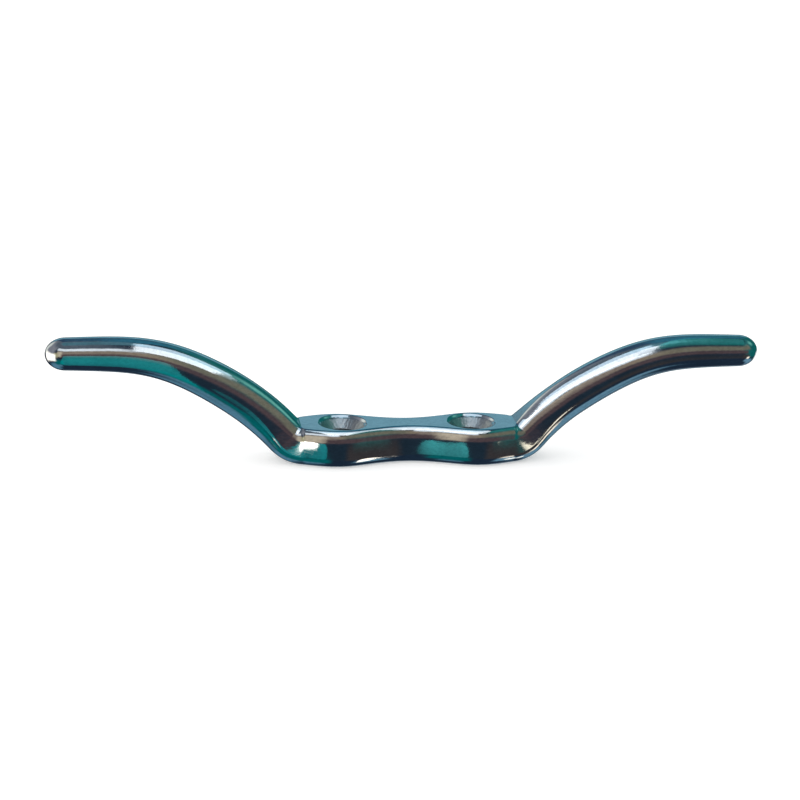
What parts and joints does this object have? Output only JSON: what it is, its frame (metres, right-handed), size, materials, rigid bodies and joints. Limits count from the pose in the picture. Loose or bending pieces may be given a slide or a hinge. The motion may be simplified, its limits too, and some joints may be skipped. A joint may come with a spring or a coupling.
{
  "type": "rope cleat",
  "caption": "Polished metal rope cleat: a waisted flat base with countersunk screw holes, and a horn that sweeps up and out from each end.",
  "frame": {"origin": "middle of the base's underside, on the surface that the cleat is screwed to", "axes": "+X along the horns, +Y across the base, +Z away from the mounting surface, towards the horns' tips"},
  "size_m": [0.15, 0.014, 0.0266],
  "materials": {
    "polished_steel": "mirror-polished stainless steel"
  },
  "bodies": {
    "root": {"cleat": "polished_steel"}
  },
  "joints": []
}
